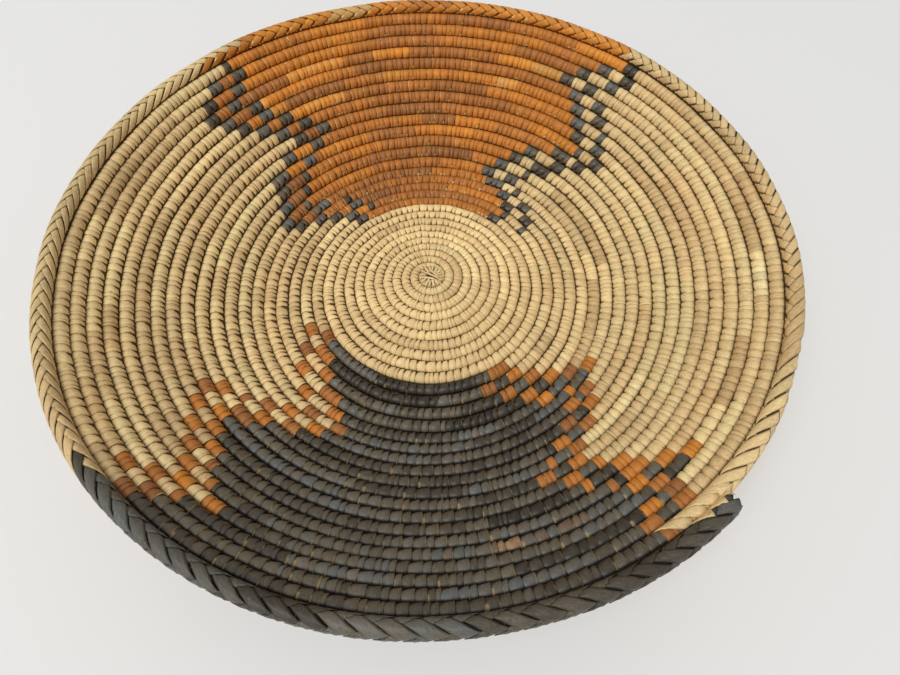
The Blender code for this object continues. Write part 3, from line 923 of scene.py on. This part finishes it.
class Braid:
    """The rim's braid: two families of slanting bands that pass over and under each other.

    Phase counts the bands along the rim. The first family holds phase plus height times
    steepness, the second phase minus it, where height is measured round the rim from the
    place where the families change over. A band is up where the other family's count has
    passed its own, and in the front only for a few bands.
    """

    def __init__(self):
        self.azimuth = np.linspace(BRAID_PLAN[0, 0], BRAID_PLAN[0, -1], BRAID_STEPS + 1)
        self.plan = [np.interp(self.azimuth, BRAID_PLAN[0], values) for values in BRAID_PLAN[1:]]
        self.mm_per_degree = loop_length(RIM_TURNS + 0.5) / MM / 360
        rate = self.mm_per_degree / self.plan[0]
        steps = (rate[1:] + rate[:-1]) / 2 * np.diff(self.azimuth)
        self.phase = np.concatenate(([0], np.cumsum(steps)))
        self.number = FIRST_BAND_NUMBER

    def course(self, own_phase):
        """A band's course: spacing, slant, changing place, span, and lead gained by angle."""
        azimuth = np.interp(own_phase, self.phase, self.azimuth)
        spacing, slant, middle, span = (np.interp(azimuth, self.azimuth, values) for values in self.plan)
        gain = 2 * BAND_TOP / (spacing * MM * math.tan(math.radians(slant)))
        return spacing * MM, math.radians(slant), math.radians(middle), span, gain

    def lay(self, piece, first_family, own_phase, look):
        """One band: its count stays its own while it turns round the rim and along it.

        lead is how far the other family's count has passed its own, which grows towards
        the bowl's inside; every station and every line across the band has its own.
        """
        _, _, middle, span, gain = self.course(own_phase)
        ahead = self.phase[-1] - own_phase
        least, most = (-2 * ahead, 2 * own_phase) if first_family else (-2 * own_phase, 2 * ahead)
        outside = max((BRAID_OUTSIDE - middle) * gain, least)
        inside = min((BRAID_INSIDE - middle) * gain, most)
        if first_family:
            lengths = ((-span - HIDDEN_REACH, HIDDEN_REACH),)
        else:
            lengths = ((outside, -span + HIDDEN_REACH), (-HIDDEN_REACH, inside))
        for low, high in lengths:
            low = max(low, outside)
            high = min(high, inside)
            if high - low > LEAST_LEAD:
                self.lay_length(piece, first_family, own_phase, low, high, look)

    def lay_length(self, piece, first_family, own_phase, low, high, look):
        """One length of a band, between two leads."""
        spacing, slant, middle, span, gain = self.course(own_phase)
        way = -1 if first_family else 1
        changes = (-span - CHANGE_MARK, -span + CHANGE_MARK, -CHANGE_MARK, CHANGE_MARK)
        marks = [mark for mark in changes if low + CHANGE_MARK < mark < high - CHANGE_MARK]
        even = np.linspace(low, high, max(LEAST_STATIONS, math.ceil((high - low) / STATION_LEAD) + 1))
        clear = [lead for lead in even[1:-1] if all(abs(lead - mark) > CHANGE_MARK for mark in marks)]
        lead = np.array(sorted([low, high, *marks, *clear]))[:, None]

        width = spacing * math.sin(slant) * BAND_WIDTH_SHARE * CHANCE.uniform(*BAND_WIDTH_SPREAD)
        across = BAND_ACROSS * width / 2
        angle = middle + lead / gain + across * math.cos(slant) / BAND_TOP
        along = np.interp(own_phase + way * lead / 2, self.phase, self.azimuth)
        along = along - way * across * math.sin(slant) / MM / self.mm_per_degree
        along = np.clip(along, BRAID_PLAN[0, 0] - END_MARGIN, BRAID_PLAN[0, -1] + END_MARGIN)
        own_lead = lead + across / spacing * math.cos(2 * slant) / math.sin(slant)
        second_up = smooth(own_lead / CHANGE_OVER + 0.5) + 1 - smooth((own_lead + span) / CHANGE_OVER + 0.5)
        up = 1 - second_up if first_family else second_up
        self.wrap(piece, along, angle, BAND_LEVEL + BAND_RISE * up, look)

    def wrap(self, piece, azimuth, angle, level, look):
        """A band through azimuths and angles round the rim, raised to a level over its bundle."""
        height = level + BAND_CROWN * (1 - BAND_ACROSS ** 2) * (1 - BAND_UNDER)
        height = height - BAND_THICKNESS * BAND_UNDER - BAND_EDGE_DROP * BAND_EDGES
        height = height + BAND_SWELL * np.maximum(-np.cos(angle), 0) ** SWELL_POWER
        points = round_cord(rim_turn(azimuth), angle, height, height)
        steps = np.linalg.norm(np.diff(points[:, 0], axis=0), axis=1) / MM
        length = np.concatenate(([0], np.cumsum(steps)))
        add_ribbon(piece, points, self.number, length, look, BAND_EDGE_PAINTED_SHADE)
        self.number += 1

    def lay_across(self, piece, azimuth, angles, advance, width, level, look, rise=0.0):
        """A short band from one angle round the rim to another, moving along it by an advance.

        It lies at a level, and higher by as much as rise on the side towards the last row.
        """
        share = np.linspace(0, 1, SHORT_STATIONS)[:, None]
        first, last = np.radians(angles)
        arc = (last - first) * BAND_LEVEL
        slant = math.atan2(abs(arc), advance)
        across = BAND_ACROSS * width / 2
        angle = first + (last - first) * share + across * math.cos(slant) / BAND_LEVEL
        side = -math.copysign(math.sin(slant), arc)
        along = azimuth + (advance * share + across * side) / MM / self.mm_per_degree
        along = np.minimum(along, BRAID_PLAN[0, -1] + END_MARGIN)
        risen = rise * smooth((np.degrees(angle) - RISE_START) / RISE_EASE)
        self.wrap(piece, along, angle, level + risen, look)


def add_core(piece, first, last):
    """The covered bundle under the braid: a tube that swells until it touches the last row."""
    azimuth = np.linspace(first, last, round((last - first) / CORE_STEP) + 1)[:, None]
    angles = np.linspace(0, math.tau, CORE_SIDES, endpoint=False)
    swelling = CORE_BULGE + END_BULGE * smooth((azimuth - END_BULGE_AZIMUTH) / END_BULGE_EASE)
    radius = RIM_CORE * (1 + swelling * np.maximum(-np.cos(angles), 0) ** SWELL_POWER)
    points = round_cord(rim_turn(azimuth), angles, radius, radius)
    piece.add_tube(points, azimuth, np.linspace(0, GRAIN_ROUND, CORE_SIDES + 1),
                   tints(points, *CORE_TINT), False)


def braid_rim():
    """Four stretches of braid, each a covered bundle with bands that slant both ways round it."""
    braid = Braid()
    pieces = []
    first = RIM_AZIMUTH
    for dye, side, last, *_ in BRAID_STRETCHES:
        piece = Piece(f"rim_braid_bands_{dye}_{side}")
        add_core(piece, first, last)
        pieces.append(piece)
        first = last
    count = math.ceil(braid.phase[-1]) + FAR_BANDS
    dyes = [stretch[0] for stretch in BRAID_STRETCHES]
    tones = {dye: run_tones(dye, 3 * count) for dye in FINISHES}

    def look(dye, place):
        """The shade and shift of one band of a dye."""
        tone, shift = tones[dye]
        mean = TONES[dye][0]
        return mean + BRAID_LIFT[dye] + (tone[place] - mean) * BRAID_CALM, shift[place] + BRAID_SHIFT

    for index in range(-FAR_BANDS, count):
        for first_family in (True, False):
            own_phase = index if first_family else index + 0.5
            azimuth = np.interp(own_phase, braid.phase, braid.azimuth)
            ends = [stretch[3 if first_family else 4] for stretch in BRAID_STRETCHES]
            stretch = next(number for number, end in enumerate(ends) if azimuth < end)
            own_look = look(dyes[stretch], 2 * (index + FAR_BANDS) + first_family)
            braid.lay(pieces[stretch], first_family, own_phase, own_look)
            if first_family and 0 <= own_phase <= braid.phase[-1]:
                width = braid.course(own_phase)[0] * WRAP_WIDTH_SHARE
                braid.lay_across(pieces[stretch], azimuth, WRAP_ANGLES, WRAP_ADVANCE, width, BAND_LEVEL,
                                 own_look)
    for place, azimuth in enumerate(TAIL_AZIMUTHS):
        own_look = look("natural", place)
        braid.lay_across(pieces[0], azimuth, TAIL_ANGLES, TAIL_ADVANCE, TAIL_WIDTH, TAIL_LEVEL, own_look)
        passed = azimuth + 360 + TAIL_ADVANCE / MM / braid.mm_per_degree
        braid.lay_across(pieces[0], passed, OVERLAP_ANGLES, OVERLAP_ADVANCE, TAIL_WIDTH, OVERLAP_LEVEL,
                         own_look, OVERLAP_RISE)
    for piece, dye in zip(pieces, dyes):
        piece.finish(*BRAID_FINISHES[dye], piece.name.replace("_bands", ""))


# The knot: a lump of bundle, and how the splints lie on it
KNOT_PLACE = (0.9 * MM, -0.7 * MM)
KNOT_RADIUS = 5.8 * MM
KNOT_RINGS = 11
KNOT_SIDES = 14
KNOT_POLE = 88
# The lump's tint: tone, shift, and painted shade, as it lies under the splints
KNOT_TINT = (0.2, 0.3, 0.75)
KNOT_GRAIN_STEP = 0.7
KNOT_GRAIN_ROUND = 12
KNOT_TONES = (0.4, 0.75)
KNOT_SHIFT = 0.64
# Painted shade along the edges of the knot's splints
KNOT_EDGE_PAINTED_SHADE = 0.8
KNOT_SPLINT_WIDTH = 1.35 * MM
KNOT_SPLINT_GRAIN = 2
KNOT_CURVE_SHARE = 0.5
KNOT_PILE = 0.16 * MM
KNOT_LIFT = 1.05 * MM
KNOT_DIP = 0.4 * MM

# Its splints, round the edge and across the middle: each one's direction in degrees, and
# shares of the radius by which it lies ahead and aside of the middle, and for its length
KNOT_EDGE_SPLINTS = (
    (58, 0.74, 0.0, 0.7), (80, 0.72, 0.05, 0.8), (101, 0.76, 0.0, 0.7), (124, 0.72, 0.0, 0.8),
    (146, 0.76, 0.04, 0.7), (171, 0.74, 0.0, 0.6), (196, 0.72, 0.0, 0.7), (219, 0.76, -0.04, 0.7),
    (244, 0.70, 0.0, 0.9), (262, 0.76, 0.0, 0.6), (283, 0.72, 0.0, 0.8), (306, 0.76, 0.0, 0.7),
    (331, 0.72, 0.03, 0.6), (354, 0.74, 0.0, 0.6), (16, 0.70, 0.0, 0.6), (36, 0.76, 0.0, 0.7),
)
KNOT_CROSSING_SPLINTS = ((-10, -0.15, -0.32, 1.1), (-44, 0.05, 0.32, 1.2), (-26, 0.0, 0.0, 1.6))


def tie_knot():
    """The start of the coil: a rounded lump of bundle with short splint ends crossed over it.

    The lump is an ellipsoid. A splint is an arc over it: at a share along its length it
    lies over the lump's height there, plus its own place in the pile, and dips with the
    fourth power of the distance from its middle.
    """
    low, high = (np.array(corner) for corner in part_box("start_knot"))
    middle = np.array((*(CENTRE[:2] + KNOT_PLACE), (low[2] + high[2]) / 2))
    size = np.array((KNOT_RADIUS, KNOT_RADIUS, (high[2] - low[2]) / 2))
    piece = Piece("knot_of_splints")
    rise = np.radians(np.linspace(-KNOT_POLE, KNOT_POLE, KNOT_RINGS))[:, None]
    angles = -np.linspace(0, math.tau, KNOT_SIDES, endpoint=False)
    dome = np.stack(np.broadcast_arrays(np.cos(rise) * np.cos(angles), np.cos(rise) * np.sin(angles),
                                        np.sin(rise)), axis=-1)
    piece.add_tube(middle + dome * size, np.arange(KNOT_RINGS)[:, None] * KNOT_GRAIN_STEP,
                   np.linspace(0, KNOT_GRAIN_ROUND, KNOT_SIDES + 1), tints(dome, *KNOT_TINT), False)
    splints = (*KNOT_EDGE_SPLINTS, *KNOT_CROSSING_SPLINTS)
    tones = CHANCE.uniform(*KNOT_TONES, len(splints))
    share = np.linspace(-1, 1, SHORT_STATIONS)[:, None]
    for place, (direction, ahead, aside, length) in enumerate(splints):
        turned = math.radians(direction)
        forward = np.array((math.cos(turned), math.sin(turned), 0))
        sideways = np.array((-math.sin(turned), math.cos(turned), 0))
        across = aside + BAND_ACROSS * KNOT_SPLINT_WIDTH / 2 / KNOT_RADIUS
        forth = ahead + share * length / 2 + 0 * across
        height = np.sqrt(1 - (forth ** 2 + across ** 2) * KNOT_CURVE_SHARE ** 2) * size[2]
        pile = max(place + 1 - len(KNOT_EDGE_SPLINTS), 0)
        height = height + KNOT_LIFT + KNOT_PILE * pile - BAND_THICKNESS * BAND_UNDER - KNOT_DIP * share ** 4
        points = middle + KNOT_RADIUS * (forth[..., None] * forward + across[:, None] * sideways)
        points[..., 2] = middle[2] + height
        add_ribbon(piece, points, FIRST_KNOT_NUMBER + place, (share[:, 0] + 1) * KNOT_SPLINT_GRAIN,
                   (tones[place], KNOT_SHIFT), KNOT_EDGE_PAINTED_SHADE)
    piece.finish(NATURAL, "natural_splint", "start_knot")


lay_bundle()
sew_wall()
braid_rim()
tie_knot()

# The studio: floor and light
FLOOR_SIZE = 6.0
FLOOR_COLOURS = (colour(236, 236, 235), colour(238, 238, 237))
FLOOR_CLOUD_SCALE = 3.0
DAYLIGHT = 0.47
LAMP_PLACE = Vector((-1.6, -1.7, 4.3))
LAMP_TARGET = Vector((0, 0, 0.02))
LAMP_SIZE = 3.0
LAMP_POWER = 144.0
LAMP_COLOUR = (1.0, 0.99, 0.975)


def lay_floor():
    """A wide pale sheet that the bowl stands on."""
    finish = Finish("pale_floor")
    where = finish.node("TexCoord", None, None, output=3)
    cloud = finish.noise(where, FLOOR_CLOUD_SCALE, 2.0, 0.5)
    finish.set(Base_Color=finish.mix(cloud, *FLOOR_COLOURS), Roughness=0.85)
    half = FLOOR_SIZE / 2
    mesh = bpy.data.meshes.new("floor")
    corners = [(-half, -half, 0), (half, -half, 0), (half, half, 0), (-half, half, 0)]
    mesh.from_pydata(corners, [], [(0, 1, 2, 3)])
    mesh.materials.append(finish.material)
    add_object("floor", mesh)


def light_studio():
    """Even daylight from the world, and one large soft lamp above and to the left."""
    world = bpy.data.worlds.new("daylight")
    bpy.context.scene.world = world
    world.use_nodes = True
    background = world.node_tree.nodes["Background"]
    background.inputs["Color"].default_value = (1.0, 1.0, 1.0, 1.0)
    background.inputs["Strength"].default_value = DAYLIGHT
    light = bpy.data.lights.new("window", "AREA")
    light.shape = "SQUARE"
    light.size = LAMP_SIZE
    light.energy = LAMP_POWER
    light.color = LAMP_COLOUR
    lamp = add_object("window", light)
    lamp.location = LAMP_PLACE
    lamp.rotation_euler = (LAMP_TARGET - LAMP_PLACE).to_track_quat("-Z", "Y").to_euler()


# The camera: where it looks from, measured from the spiral's centre
CAMERA_ELEVATION = math.radians(61.86)
CAMERA_DISTANCE = 271.4 * MM
CAMERA_ROLL = math.radians(0.55)
CAMERA_LEFT = -10.6 * MM
CAMERA_DOWN = 31.6 * MM
FOCAL_PIXELS = 520
IMAGE_WIDTH = 900
SENSOR = 36.0
CLIP_START = 0.01


def set_camera():
    """A camera at the photograph's angle: its axes are turned by the elevation, then by the roll."""
    back = np.array((0, -math.cos(CAMERA_ELEVATION), math.sin(CAMERA_ELEVATION)))
    right = np.array((1.0, 0.0, 0.0))
    up = np.cross(right, -back)
    level_right = math.cos(CAMERA_ROLL) * right + math.sin(CAMERA_ROLL) * up
    level_up = math.cos(CAMERA_ROLL) * up - math.sin(CAMERA_ROLL) * right
    eye = CENTRE + back * CAMERA_DISTANCE - level_right * CAMERA_LEFT - level_up * CAMERA_DOWN
    camera = bpy.data.cameras.new("camera")
    camera.sensor_fit = "HORIZONTAL"
    camera.sensor_width = SENSOR
    camera.lens = SENSOR * FOCAL_PIXELS / IMAGE_WIDTH
    camera.clip_start = CLIP_START
    holder = add_object("camera", camera)
    axes = np.column_stack((level_right, level_up, back, eye))
    holder.matrix_world = Matrix(np.vstack((axes, (0, 0, 0, 1))).tolist())
    bpy.context.scene.camera = holder


lay_floor()
light_studio()
set_camera()
bpy.context.scene.view_settings.view_transform = "Standard"
